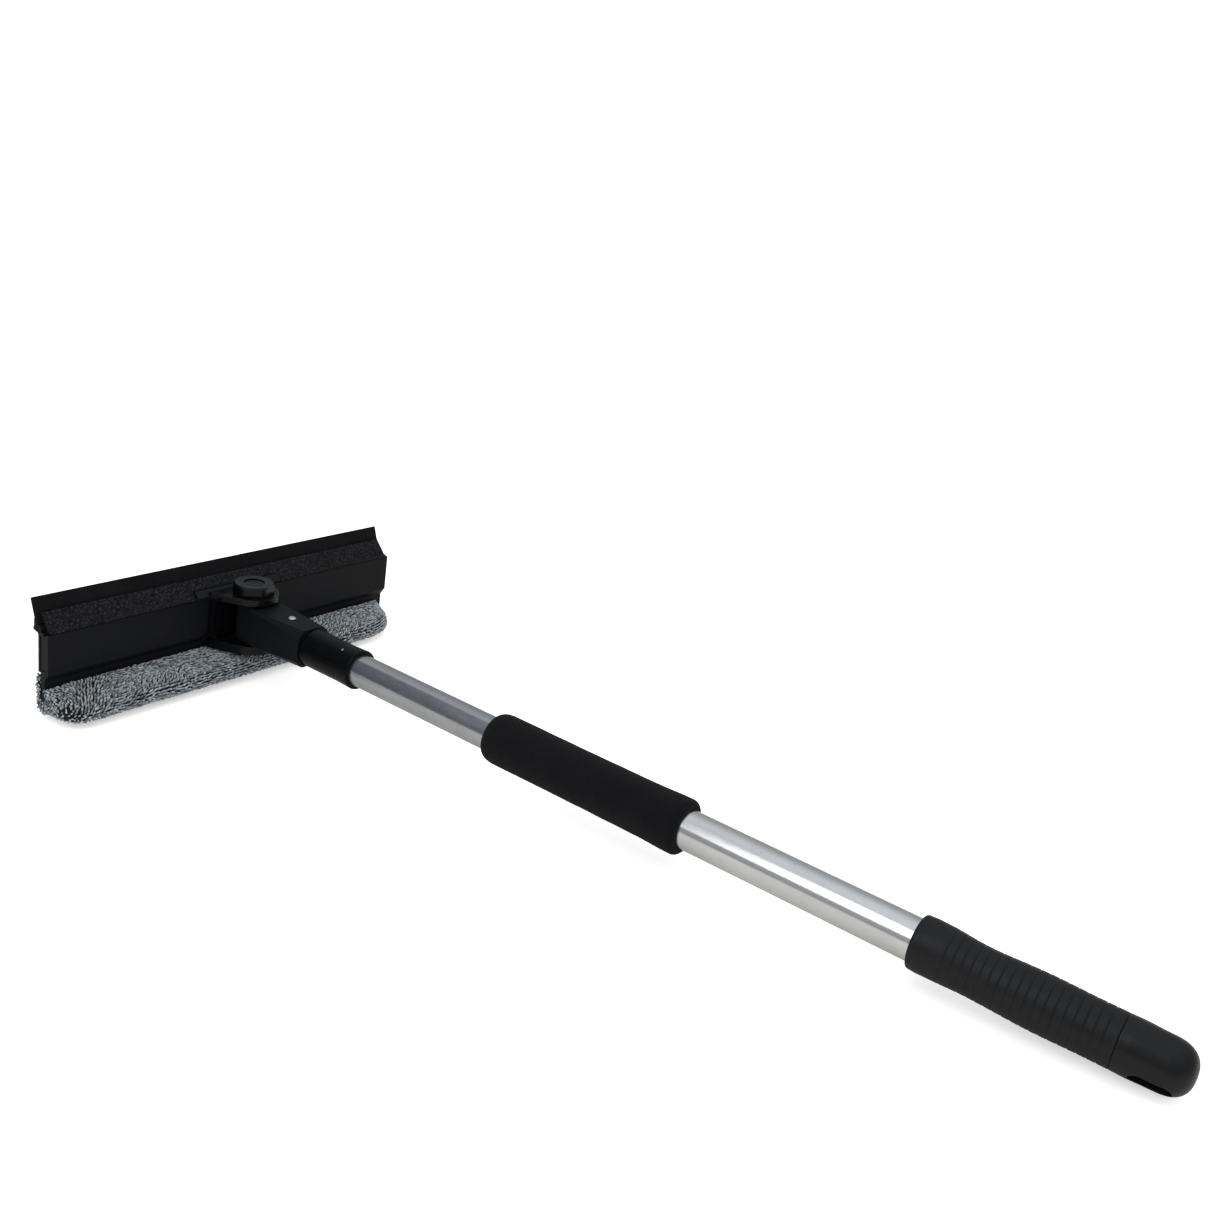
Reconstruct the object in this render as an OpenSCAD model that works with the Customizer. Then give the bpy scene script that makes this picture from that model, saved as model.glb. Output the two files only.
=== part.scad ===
// Window cleaning pole: a squeegee and scrubber head that swivels on a telescopic handle.
// The origin is the centre of the flat scrubbing face under the head. +X runs along the head,
// +Y from the handle towards the head, and +Z up, on the side of the clamp knob.
// Each piece is drawn about the pivot, where the swivel axis crosses the pole axis, and
// from_pivot() then lifts it into place. A station is a distance from the pivot down the pole.

/* [Head] */
// Length of the head and of the rubber blade
head_l = 250; // [200:1:400]
// From the swivel axis to the front face of the panel
panel_y = 12.9; // [12.9:0.1:13.4]
// Depth of the hollow box behind the panel
box_depth = 8.9; // [8.7:0.1:9.2]
// Top edge of the panel above the pole axis
panel_top = 12.7; // [12.6:0.05:12.8]
// Bottom edge of the panel below the pole axis
panel_bottom = 10.8; // [10.2:0.1:11]
// Wall of the hollow head profile
wall = 1.6; // [1.4:0.1:1.8]

/* [Blade] */
// Thickness of the rubber sheet
blade_t = 1.8; // [1.4:0.1:1.9]
// Lean of the blade away from the handle, in degrees
blade_lean = 20; // [18:0.5:21]
// Height of the blade's working edge above the pole axis
blade_top = 29.8; // [26:0.1:34]

/* [Scrubber] */
// Depth of the microfibre pile and its backing
pile = 4; // [3:0.5:4.5]
// Height of the scrubbing face below the pole axis
pad_bottom = 35; // [34.5:0.1:37]

/* [Swivel] */
// Radius of the two ears of the bracket
ear_r = 15; // [14:0.5:15.5]
// Half of the gap between the ears
ear_gap = 12.9; // [12.7:0.1:13.2]
// Thickness of the upper ear
upper_ear_t = 3.9; // [3.5:0.1:4.2]
// Thickness of the lower ear
lower_ear_t = 5.4; // [5:0.1:5.4]
// Half width of the bracket's side cheeks
cheek_x = 22; // [21:0.5:24]
// Radius of the pivot bolt
bolt_r = 3; // [2.5:0.1:3]

/* [Clamp knob] */
// Radius of the knob over its rounded corners
knob_r = 12; // [11.5:0.25:12.5]
// Half of the distance across the knob's flats
knob_flat = 11.1; // [10.6:0.1:11.3]
// Height of the knob
knob_h = 5.4; // [5:0.1:6]

/* [Yoke] */
// Half width of the yoke block
yoke_x = 11.2; // [11:0.1:11.4]
// Half height of the yoke block
yoke_z = 11.5; // [11.3:0.1:11.6]
// Station of the yoke's mouth
yoke_end = 53; // [51:1:58]
// Radius of the round tongue between the ears
tongue_r = 9.4; // [9:0.1:9.8]

/* [Telescope] */
// Outside radius of the outer tube
outer_r = 10; // [10:0.05:10.2]
// Radius of the outer tube's bore
outer_bore = 9.5; // [9.45:0.05:9.6]
// Outside radius of the inner tube
inner_r = 9.35; // [9.2:0.05:9.4]
// Radius of the inner tube's bore
inner_bore = 8.45; // [8.2:0.05:8.6]
// Length of inner tube in view between the ferrule and the foam grip
stick_out = 101; // [90:1:130]
// Length of the foam grip
foam_l = 121; // [100:1:160]
// Length of outer tube in view between the two grips
bare_l = 118.8; // [90:0.1:300]

/* [Handle] */
// Length of the ribbed grip
grip_l = 87.2; // [85:0.1:100]
// Number of grooves round the ribbed grip
grooves = 18; // [8:1:18]
// Length of the handle's end cap
cap_l = 29.7; // [29:0.1:34]
// Width of the hanging slot
slot_w = 8.4; // [6:0.2:9]
// Length of the hanging slot
slot_l = 16.6; // [12:0.2:17]

/* [Hidden] */
$fn = 64;
// Radial clearance of a turning or sliding fit, and of two pieces that only touch
run = 0.05;
touch = 0.03;
// Overshoot of a cutting shape past the face it cuts
over = 1;
far = 60;

// Head profile, as [Y, Z] points
box_back = panel_y + box_depth;
deck_t = 2.3;                       // floor between the box and the jaws
lip_front = panel_y + 3.3;          // flange that carries the scrubber
lip_back = lip_front + 3.2;
lip_root = panel_y + 0.4;
lip_chamfer = panel_bottom + 4.3;
lip_bottom = 27;
bead = [22.2, 13.6];                // centre of the bead at the blade's root
bead_r = 1.7;
slot_clear = 0.05;
jaw_root = panel_top - 1.7;         // where the jaws stand in the deck
back_jaw_top = 18.8;
back_jaw_y = 25.65;
back_jaw_bump = [back_jaw_y + 0.7, 13.5];
front_jaw_top = 16;
front_jaw_y = 19.4;
front_jaw_step = 14.4;
// Clamping strip
strip_lip = panel_y - 0.4;
strip_low = panel_top + 0.5;
strip_lip_h = 0.9;
strip_heel = [14.3, 14.4];
strip_top = [22.2, 22.7];
strip_t = 1.8;
strip_nose = [1.8, -0.5];           // overhang of the strip's top edge over its lean
strip_foot = [14.7, 16.7];          // front and back of the foot in the deck's groove
strip_groove = 1.2;
// Blade length from the bead to the working edge, along its lean
blade_l = (blade_top - bead[1]) / cos(blade_lean);
// End plugs
plug_l = 8;
plug_inset = 0.3;

// Scrubber: the rounds of its section, as [Y, Z, radius], and the rounds of its rear fold
strip_l = head_l - 4;
sleeve_l = head_l + 1;
core_l = head_l - 20;
pad_corner = 24;                    // radius of its front corners, seen from above
core_corner = 22;
pad_front = -6.3;
pad_rear = 18.2;
pad_rounds = [[pad_front, 5.7 - pad_bottom, 5.7], [1.5, -26.6, 5.5],
              [lip_front - 2.8, -22.9, 4.3], [pad_rear, 5.6 - pad_bottom, 5.6]];
fold_rounds = [[21.9, -13.2, 1.9], [21.9, -29, 1.9], [20.6, -29, 1]];

// Bracket
saddle_y = panel_y - 1.6;
saddle_top = 17.7;
saddle_bottom = 12;
saddle_bend = 14.2;
saddle_slope_y = saddle_y + 3.7;
wing_x = 30.5;
wing_h = 3.4;
foot_x = 27;
foot_h = 1.2;
fillet = 3.2;
cheek_t = 2;
cheek_mid = 10.1;                   // the cheek's front edge at the pole axis
cheek_r = 20;
boss_r = 3;
boss_x = 17;
boss_z = 6;
boss_start = saddle_y + 0.5;
boss_end = 18.5;
screw_r = 1.5;
screw_hole_r = 1.7;
screw_head_r = 2.9;
screw_head_t = 1.3;

// Pivot
washer_r = 8.2;
washer_t = 0.7;
knob_z = ear_gap + upper_ear_t + washer_t + 2 * touch;
knob_top = knob_z + knob_h;
knob_turn = 19.3;                   // angle of the knob as it was last left
recess_r = 6.2;
recess_d = 2.1;
cap_t = 1.3;
hex_flat = 5;                       // half the distance across the flats of nut and bolt head
nut_t = 3.2;
bolt_head_t = 2.3;
friction_r = 8.6;

// Yoke and ferrule stations
block_start = 10.5;
cone_start_r = 15.7;
cone_slope = 0.0555;
spigot_r = 9;
spigot_bore = 6.5;
spigot_start = 20;
ferrule_r = 11.3;
ferrule_end = yoke_end + 40;
neck_l = 1.6;
neck_r = 10.1;
socket_stop = yoke_end + 4;
pin_station = yoke_end + 29.5;
pin_angle = 116;
pin_r = 0.7;
button_station = 34.5;
button_r = 2.4;
button_top = yoke_z + 0.8;
button_base_r = 3.6;
button_base = [4.2, 5.35];          // underside and top of the button's flange
spring_w = 4.4;
spring_t = 0.55;
spring_low = -5.9;

// Telescope stations
foam_start = ferrule_end + stick_out;
foam_end = foam_start + foam_l;
grip_start = foam_end + bare_l;
grip_end = grip_start + grip_l;
mouth = foam_start + 3;             // open end of the outer tube
outer_end = grip_end - 1;
inner_end = mouth + 155;
mouth_cap_r = 11.2;
mouth_cap_l = 12;
mouth_cap_front = 2;                // its stretch beyond the tube's end
foam_r = 13.6;

// Twist lock
stud_r = 3;
stud_l = 39;
plug_depth = 20;
shoe_r = outer_bore - run;
shoe_l = 30;
shoe_start = inner_end + 1.6;
shoe_collar = 6;
shoe_bore = 6;
cone_large = 8.1;
cone_l = 11;
cone_base = 2;
cone_clear = 0.08;
slit_w = 1.4;

// Handle
cap_spigot_l = 26;
dome_l = 13;
dome_power = 2.5;
slot_station = grip_end + 15.6;
slot_angle = 40;
groove_w = 0.9;
groove_d = 0.6;
groove_pitch = 3.93;
groove_first = 14.8;

// Smooth outlines of the grips, as [distance from the grip's start, radius] stations
foam_outline = [[0, foam_r - 2.3], [2.4, foam_r - 0.7], [8, foam_r + 0.1],
                [foam_l * 0.5, foam_r], [foam_l * 0.8, foam_r + 0.1],
                [foam_l - 4, foam_r + 0.65], [foam_l - 1.2, foam_r + 0.3], [foam_l, foam_r - 1.2]];
grip_outline = [[0, 11.4], [0.9, 12.35], [5, 12.65], [10, 12.5], [28, 11.7],
                [grip_l * 0.64, 12.45], [grip_l * 0.92, 12.05], [grip_l, 12.05]];
cap_outline = [[0, 12.05], [5, 12.15], [cap_l - dome_l, 11.85]];

// ---- Helpers ----

// Radius at distance z along an outline of [distance, radius] stations, eased between them
function station_below(outline, z) =
    max([for (k = [0 : len(outline) - 2]) if (outline[k][0] <= z) k]);
function ease(a, b, u) = a + (b - a) * (1 - cos(180 * u)) / 2;
function radius_at(outline, z) =
    let (k = station_below(outline, z), a = outline[k], b = outline[k + 1])
    ease(a[1], b[1], (z - a[0]) / (b[0] - a[0]));
function last(list) = list[len(list) - 1];

// [radius, distance] points of an outline: each stretch between two stations is cut in even steps
function outline_points(outline, steps = 5) = concat(
    [for (k = [0 : len(outline) - 2]) for (i = [0 : steps - 1])
        let (z = outline[k][0] + (outline[k + 1][0] - outline[k][0]) * i / steps)
        [radius_at(outline, z), z]],
    [[last(outline)[1], last(outline)[0]]]);

// Turns a 2D [Y, Z] shape into a bar along X, centred on the head
module along_head(length) {
    rotate([90, 0, 90]) linear_extrude(length, center = true) children();
}

// Puts a piece that is drawn about the pivot in its place over the scrubbing face
module from_pivot() {
    translate([0, -(pad_front + pad_rear) / 2, pad_bottom]) children();
}

// Lays a shape that stands on Z down the pole, so that its height becomes a station
module down_pole(station = 0) {
    rotate([90, 0, 0]) translate([0, 0, station]) children();
}

module ring(r_out, r_in, height) {
    difference() {
        cylinder(r = r_out, h = height);
        translate([0, 0, -over]) cylinder(r = r_in, h = height + 2 * over);
    }
}

module hexagon_bar(flat, height) {
    cylinder(r = flat / cos(30), h = height, $fn = 6);
}

// ---- Head ----

module blade_shape(grow = 0) {
    half = blade_t / 2 + grow;
    translate(bead) rotate(-blade_lean) {
        circle(bead_r + grow);
        translate([-half, 0]) square([2 * half, blade_l + grow * 20]);
    }
}

// A point on the blade's centre line at height z
function on_blade(z) = [bead[0] + (z - bead[1]) * tan(blade_lean), z];

module back_jaw() {
    polygon([[bead[0] - 1, jaw_root - 0.4], [box_back - 1, jaw_root - 0.4], [box_back, jaw_root],
             [box_back + 0.7, jaw_root + 0.7], [back_jaw_y + 0.5, jaw_root + 1.4], back_jaw_bump,
             [back_jaw_y, back_jaw_bump[1] + 1.3], [back_jaw_y, back_jaw_top],
             on_blade(back_jaw_top), bead]);
}

module front_jaw() {
    polygon([[front_jaw_y, jaw_root], [bead[0], jaw_root], bead, on_blade(front_jaw_top),
             [front_jaw_y + 1.5, front_jaw_top], [front_jaw_y, front_jaw_step]]);
}

module head_profile() {
    difference() {
        union() {
            translate([panel_y, -panel_bottom]) square([box_depth, panel_bottom + panel_top]);
            polygon([[lip_root, -panel_bottom], [lip_front, -lip_chamfer],
                     [lip_front, -lip_bottom], [lip_back, -lip_bottom],
                     [lip_back, -panel_bottom + wall], [lip_root, -panel_bottom + wall]]);
            back_jaw();
            front_jaw();
        }
        hollow_shape();
        blade_shape(slot_clear);
        translate([strip_foot[0] - run, panel_top - strip_groove])
            square([strip_foot[1] - strip_foot[0] + 2 * run, strip_groove + over]);
    }
}

module hollow_shape(clear = 0) {
    low = -panel_bottom + wall + clear;
    high = panel_top - deck_t - clear;
    translate([panel_y + wall + clear, low])
        square([box_depth - 2 * wall - 2 * clear, high - low]);
}

module each_boss() {
    for (x = [-boss_x, boss_x], z = [-boss_z, boss_z]) translate([x, 0, z]) rotate([-90, 0, 0])
        children();
}

module head_body() {
    from_pivot() color([0.05, 0.05, 0.055]) difference() {
        along_head(head_l) head_profile();
        each_boss() {
            translate([0, 0, panel_y - over]) cylinder(r = boss_r + run, h = wall + 2 * over);
            translate([0, 0, box_back - wall - over])
                cylinder(r = screw_hole_r, h = wall + 2 * over);
        }
    }
}

module end_plugs() {
    from_pivot() color([0.07, 0.07, 0.075]) for (side = [-1, 1])
        translate([side * (head_l / 2 - plug_l / 2 - plug_inset), 0, 0])
            along_head(plug_l) hollow_shape(touch);
}

module strip_shape() {
    run_y = strip_top[0] - strip_heel[0];
    run_z = strip_top[1] - strip_heel[1];
    back = strip_t / norm([run_y, run_z]) * [run_z, -run_y];
    nose = strip_top + strip_nose;
    polygon([[strip_lip, strip_low], [strip_lip, strip_low + strip_lip_h - 0.2],
             [strip_lip + 0.25, strip_low + strip_lip_h], strip_heel, strip_top, nose,
             nose - [0.25, 0.75], strip_top + back - [0.2, 0.2],
             [strip_foot[1], strip_heel[1] + 0.4], [strip_foot[1], panel_top - strip_groove + touch],
             [strip_foot[0], panel_top - strip_groove + touch], [strip_foot[0], strip_low]]);
}

module blade_clamp() {
    from_pivot() color([0.1, 0.1, 0.105]) along_head(strip_l) strip_shape();
}

module squeegee_blade() {
    from_pivot() color([0.06, 0.06, 0.06]) along_head(head_l) blade_shape();
}

// The outline round a list of [Y, Z, radius] rounds, drawn in by a distance
module around(rounds, inset = 0) {
    hull() for (one = rounds) translate([one[0], one[1]]) circle(one[2] - inset, $fn = 32);
}

module flange_space() {
    translate([lip_front - touch, -lip_bottom - touch])
        square([lip_back - lip_front + 2 * touch, lip_bottom]);
}

// A plan with rounded front corners, cut right through the scrubber's height
module pad_plan(length, inset, corner) {
    half = length / 2;
    front = pad_front - pad_rounds[0][2] + inset;
    translate([0, 0, -far]) linear_extrude(far) {
        for (x = [corner - half, half - corner]) translate([x, front + corner]) circle(corner);
        translate([corner - half, front]) square([length - 2 * corner, corner + over]);
        translate([-half, front + corner]) square([length, far]);
    }
}

// The foam block, drawn in by a clearance
module core_shape(clear = 0) {
    intersection() {
        along_head(core_l - 2 * clear) around(pad_rounds, pile + clear);
        pad_plan(core_l - 2 * clear, pile + clear, core_corner);
    }
}

module scrubber_core() {
    from_pivot() color([0.75, 0.75, 0.7]) difference() {
        core_shape(touch);
        along_head(head_l) flange_space();
    }
}

module scrubber_sleeve() {
    from_pivot() color([0.5, 0.55, 0.58]) difference() {
        intersection() {
            along_head(sleeve_l) union() {
                around(pad_rounds);
                around(fold_rounds);
            }
            pad_plan(sleeve_l, 0, pad_corner);
        }
        core_shape();
        along_head(sleeve_l + 2 * over) flange_space();
    }
}

// ---- Bracket and pivot ----

// Plan of an ear: a circle with two tangent sides that flare to the cheeks
module ear_plan() {
    reach = norm([cheek_x, saddle_y]);
    turn = atan2(saddle_y, cheek_x) - acos(ear_r / reach);
    side = ear_r * [cos(turn), sin(turn)];
    circle(ear_r);
    polygon([side, [cheek_x, saddle_y], [cheek_x, box_back], [-cheek_x, box_back],
             [-cheek_x, saddle_y], [-side[0], side[1]]]);
}

// The front of the head as the bracket meets it, filled back past the blade
module head_front_shape() {
    polygon([[panel_y, -far], [panel_y, strip_low], [strip_lip, strip_low],
             [strip_lip, strip_low + strip_lip_h], strip_heel, strip_top, [far, strip_top[1]],
             [far, -far]]);
}

// The saddle seen from the handle: a plate with a round-cornered notch in each side
module saddle_outline() {
    notch_low = foot_h - saddle_bottom;
    notch_high = saddle_top - wing_h;
    notch_h = notch_high - notch_low;
    difference() {
        translate([-wing_x, -saddle_bottom]) square([2 * wing_x, saddle_top + saddle_bottom]);
        for (side = [-1, 1]) scale([side, 1]) {
            translate([cheek_x + fillet, notch_low]) square([wing_x, notch_h]);
            translate([cheek_x, notch_low + fillet]) square([wing_x, notch_h - 2 * fillet]);
            for (z = [notch_low, notch_high - 2 * fillet])
                translate([cheek_x + fillet, z + fillet]) circle(fillet);
            translate([foot_x, -saddle_bottom - over]) square([wing_x, notch_h]);
        }
    }
}

module saddle() {
    intersection() {
        along_head(2 * wing_x) polygon([[saddle_y, -saddle_bottom], [saddle_y, saddle_bend],
            [saddle_slope_y, saddle_top], [box_back, saddle_top], [box_back, -saddle_bottom]]);
        rotate([90, 0, 0]) translate([0, 0, -far]) linear_extrude(far) saddle_outline();
    }
}

module cheeks() {
    difference() {
        for (side = [-1, 1])
            translate([side * (cheek_x - cheek_t / 2) - cheek_t / 2, 0, -ear_gap - over])
                cube([cheek_t, boss_start, 2 * (ear_gap + over)]);
        translate([0, cheek_mid - cheek_r, 0]) rotate([0, 90, 0])
            cylinder(r = cheek_r, h = 3 * cheek_x, center = true, $fn = 96);
    }
}

module swivel_bracket() {
    lower_face = -ear_gap - lower_ear_t;
    from_pivot() color([0.04, 0.04, 0.045]) difference() {
        union() {
            difference() {
                union() {
                    translate([0, 0, ear_gap]) linear_extrude(upper_ear_t) ear_plan();
                    translate([0, 0, lower_face]) linear_extrude(lower_ear_t) ear_plan();
                    saddle();
                    cheeks();
                }
                translate([0, -touch, 0]) along_head(4 * wing_x) head_front_shape();
                translate([-3 * wing_x, lip_front - 2.4, -saddle_bottom - far])
                    cube([6 * wing_x, box_back, far]);
            }
            each_boss() translate([0, 0, boss_start]) cylinder(r = boss_r, h = boss_end - boss_start);
        }
        translate([0, 0, -far]) cylinder(r = bolt_r + run, h = 2 * far);
        translate([0, 0, lower_face - over]) hexagon_bar(hex_flat + run, nut_t + 0.1 + over);
        each_boss() translate([0, 0, boss_start + 0.5]) cylinder(r = screw_r + run, h = far);
    }
}

module bracket_screws() {
    tip = boss_start + 1.1;
    from_pivot() color("silver") each_boss() {
        translate([0, 0, tip]) cylinder(r = screw_r, h = box_back - tip + screw_head_t / 2);
        translate([0, 0, box_back + touch]) difference() {
            cylinder(r1 = screw_head_r, r2 = screw_head_r - 0.6, h = screw_head_t);
            for (turn = [0, 90]) rotate(turn) translate([-1.6, -0.35, screw_head_t - 0.7])
                cube([3.2, 0.7, 1]);
        }
    }
}

module pivot_nut() {
    from_pivot() color("silver") translate([0, 0, -ear_gap - lower_ear_t + touch]) difference() {
        hexagon_bar(hex_flat, nut_t);
        translate([0, 0, -over]) cylinder(r = bolt_r + run, h = nut_t + 2 * over);
    }
}

module friction_washers() {
    from_pivot() color([0.85, 0.85, 0.8]) for (z = [-ear_gap + touch, yoke_z + touch])
        translate([0, 0, z]) ring(friction_r, bolt_r + run, ear_gap - yoke_z - 2 * touch);
}

module knob_washer() {
    from_pivot() color("silver") translate([0, 0, ear_gap + upper_ear_t + touch])
        ring(washer_r, bolt_r + run, washer_t);
}

module clamp_knob() {
    bevel = 0.9;
    from_pivot() color([0.03, 0.03, 0.035]) translate([0, 0, knob_z]) difference() {
        intersection() {
            union() {
                cylinder(r = knob_r, h = knob_h - bevel, $fn = 96);
                translate([0, 0, knob_h - bevel])
                    cylinder(r1 = knob_r, r2 = knob_r - bevel, h = bevel, $fn = 96);
            }
            rotate(knob_turn) hexagon_bar(knob_flat, knob_h);
        }
        translate([0, 0, knob_h - recess_d]) cylinder(r = recess_r, h = recess_d + over);
        translate([0, 0, knob_h - recess_d - bolt_head_t - touch])
            hexagon_bar(hex_flat + touch, bolt_head_t + over);
        translate([0, 0, -over]) cylinder(r = bolt_r + run, h = knob_h);
    }
}

module knob_cap() {
    dish_r = 14;
    dish_floor = 0.4;
    from_pivot() color([0.12, 0.12, 0.13]) translate([0, 0, knob_top - recess_d + touch])
        difference() {
            cylinder(r = recess_r - touch, h = cap_t);
            translate([0, 0, dish_r + dish_floor]) sphere(dish_r);
        }
}

module pivot_bolt() {
    tip = -ear_gap - lower_ear_t + 0.2;
    head_low = knob_top - recess_d - bolt_head_t;
    from_pivot() color("silver") {
        translate([0, 0, tip]) cylinder(r = bolt_r, h = head_low - tip + 0.5);
        translate([0, 0, head_low]) hexagon_bar(hex_flat, bolt_head_t - touch);
    }
}

// ---- Yoke, ferrule and snap button ----

module yoke() {
    block_l = yoke_end - block_start;
    from_pivot() color([0.05, 0.05, 0.055]) difference() {
        union() {
            intersection() {
                translate([-yoke_x, -yoke_end, -yoke_z]) cube([2 * yoke_x, block_l, 2 * yoke_z]);
                down_pole(block_start) cylinder(r1 = cone_start_r,
                    r2 = cone_start_r - cone_slope * block_l, h = block_l, $fn = 96);
            }
            cylinder(r = tongue_r, h = 2 * yoke_z, center = true);
            translate([-tongue_r, -block_start - 0.1, -yoke_z])
                cube([2 * tongue_r, block_start + 0.1, 2 * yoke_z]);
        }
        down_pole(spigot_start - 0.5) cylinder(r = spigot_r + run, h = yoke_end);
        cylinder(r = bolt_r + run, h = 4 * yoke_z, center = true);
        translate([0, -button_station, 0]) cylinder(r = button_r + run, h = 2 * yoke_z);
        translate([0, -button_station, yoke_z - 0.4])
            cylinder(r1 = button_r, r2 = button_r + 0.9, h = 0.5);
    }
}

module ferrule() {
    shoulder = yoke_end + neck_l;
    swell = yoke_end + 30;
    from_pivot() color([0.04, 0.04, 0.04]) difference() {
        union() {
            down_pole(spigot_start) cylinder(r = spigot_r, h = yoke_end - spigot_start + over);
            down_pole(yoke_end) cylinder(r = neck_r, h = neck_l + 0.1);
            down_pole(shoulder) cylinder(r1 = ferrule_r - 0.5, r2 = ferrule_r, h = 0.5);
            down_pole(shoulder + 0.5)
                cylinder(r1 = ferrule_r, r2 = ferrule_r - 0.1, h = swell - shoulder - 0.5);
            down_pole(swell) cylinder(r1 = ferrule_r - 0.1, r2 = ferrule_r + 0.3,
                h = ferrule_end - 0.6 - swell);
            down_pole(ferrule_end - 0.6) cylinder(r1 = ferrule_r + 0.3, r2 = ferrule_r, h = 0.6);
        }
        down_pole(spigot_start - over) cylinder(r = spigot_bore, h = socket_stop);
        down_pole(socket_stop) cylinder(r = inner_r + touch, h = yoke_end);
        translate([0, -button_station, 0]) cylinder(r = button_r + run, h = 2 * yoke_z);
        each_pin() cylinder(r = pin_r + touch, h = 2 * ferrule_r);
    }
}

module each_pin() {
    for (turn = [0, 180]) down_pole(pin_station) rotate([0, 0, pin_angle + turn]) rotate([0, 90, 0])
        children();
}

module ferrule_pins() {
    inside = inner_bore - 0.6;
    from_pivot() color("silver") each_pin() {
        translate([0, 0, inside]) cylinder(r = pin_r, h = ferrule_r + 0.15 - inside);
        translate([0, 0, inside]) cylinder(r = pin_r + 0.5, h = 0.5);
    }
}

module snap_button() {
    low = button_base[0];
    shoulder = button_top - 0.5;
    from_pivot() color([0.85, 0.85, 0.85]) translate([0, -button_station, low]) {
        cylinder(r = button_base_r, h = button_base[1] - low);
        cylinder(r = button_r, h = shoulder - low);
        translate([0, 0, shoulder - low]) cylinder(r1 = button_r, r2 = button_r - 0.7, h = 0.5);
    }
}

// A folded leaf: the lower leaf lies in the bore, the upper leaf carries the button
module button_spring() {
    high = button_base[0] - touch;
    fold = button_station + 12;
    flat_end = button_station + 3;
    tip = button_station - 3;
    from_pivot() color([0.7, 0.7, 0.7]) along_head(spring_w)
        polygon([[-tip, spring_low], [-tip, spring_low + spring_t],
                 [-fold + 0.6, spring_low + spring_t], [-flat_end + 0.3, high - spring_t],
                 [-tip, high - spring_t], [-tip, high], [-flat_end, high],
                 [-fold - spring_t, spring_low + spring_t], [-fold, spring_low]]);
}

// ---- Telescopic pole and twist lock ----

module inner_tube() {
    top = socket_stop + touch;
    from_pivot() color([0.72, 0.73, 0.75]) difference() {
        down_pole(top) ring(inner_r, inner_bore, inner_end - top);
        each_pin() cylinder(r = pin_r + touch, h = 2 * inner_r);
    }
}

module lock_screw() {
    plug_r = inner_bore - touch;
    from_pivot() color([0.2, 0.2, 0.22]) {
        down_pole(inner_end - plug_depth) ring(plug_r, stud_r - 1, plug_depth + 1);
        down_pole(inner_end + touch) ring(inner_r - 0.1, stud_r - 1, 1.4);
        down_pole(inner_end - 4) cylinder(r = stud_r, h = stud_l + 4);
    }
}

module lock_sleeve() {
    seat_start = shoe_l - cone_l + cone_base;
    seat_slope = (cone_large - shoe_bore) / (cone_l - cone_base);
    from_pivot() color([0.9, 0.9, 0.88]) down_pole(shoe_start) difference() {
        cylinder(r = shoe_r, h = shoe_l);
        translate([0, 0, -over]) cylinder(r = stud_r + run, h = shoe_l);
        translate([0, 0, shoe_collar]) cylinder(r = shoe_bore, h = shoe_l);
        translate([0, 0, seat_start]) cylinder(r1 = shoe_bore,
            r2 = cone_large + seat_slope * over, h = cone_l - cone_base + over);
        for (turn = [0 : 120 : 240]) rotate(turn) translate([0, -slit_w / 2, shoe_collar + 3])
            cube([2 * shoe_r, slit_w, shoe_l]);
    }
}

module lock_cone() {
    start = shoe_start + shoe_l - cone_l + cone_base;
    rim = cone_large - cone_clear;
    from_pivot() color([0.3, 0.3, 0.32]) down_pole(start) difference() {
        union() {
            cylinder(r1 = shoe_bore - cone_clear, r2 = rim, h = cone_l - cone_base);
            translate([0, 0, cone_l - cone_base]) cylinder(r = rim, h = cone_base);
        }
        translate([0, 0, -over]) cylinder(r = stud_r + run, h = cone_l + 2 * over);
    }
}

module lock_clip() {
    clip_t = 1;
    from_pivot() color("silver") down_pole(inner_end + stud_l - clip_t - 0.3) difference() {
        cylinder(r = stud_r + 2, h = clip_t);
        translate([0, 0, -over]) cylinder(r = stud_r + 0.01, h = clip_t + 2 * over);
        translate([0, -stud_r * 0.6, -over]) cube([3 * stud_r, stud_r * 1.2, clip_t + 2 * over]);
    }
}

module outer_tube() {
    from_pivot() color([0.8, 0.81, 0.83]) down_pole(mouth)
        ring(outer_r, outer_bore, outer_end - mouth);
}

// Plastic cap over the open end of the outer tube, under the foam
module mouth_cap() {
    from_pivot() color([0.05, 0.05, 0.05]) down_pole(mouth - mouth_cap_front) difference() {
        cylinder(r = mouth_cap_r, h = mouth_cap_l);
        translate([0, 0, -over]) cylinder(r = inner_r + run, h = mouth_cap_l + 2 * over);
        translate([0, 0, mouth_cap_front - touch]) cylinder(r = outer_r + touch, h = mouth_cap_l);
    }
}

// The solid of an outline turned about the pole
module turned(outline) {
    rotate_extrude($fn = 96)
        polygon(concat([[0, 0]], outline_points(outline), [[0, last(outline)[0]]]));
}

module foam_grip() {
    cap_end = mouth - mouth_cap_front + mouth_cap_l - foam_start;
    from_pivot() color([0.08, 0.08, 0.085]) down_pole(foam_start) difference() {
        turned(foam_outline);
        translate([0, 0, -over]) cylinder(r = outer_r + touch, h = foam_l + 2 * over);
        translate([0, 0, -over]) cylinder(r = mouth_cap_r + touch, h = cap_end + over + touch);
    }
}

module handle_grip() {
    from_pivot() color([0.09, 0.09, 0.095]) down_pole(grip_start) difference() {
        turned(grip_outline);
        translate([0, 0, -over]) cylinder(r = outer_r + touch, h = grip_l + 2 * over);
        for (i = [0 : grooves - 1]) {
            z = groove_first + i * groove_pitch;
            translate([0, 0, z]) ring(far, radius_at(grip_outline, z) - groove_d, groove_w);
        }
    }
}

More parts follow.
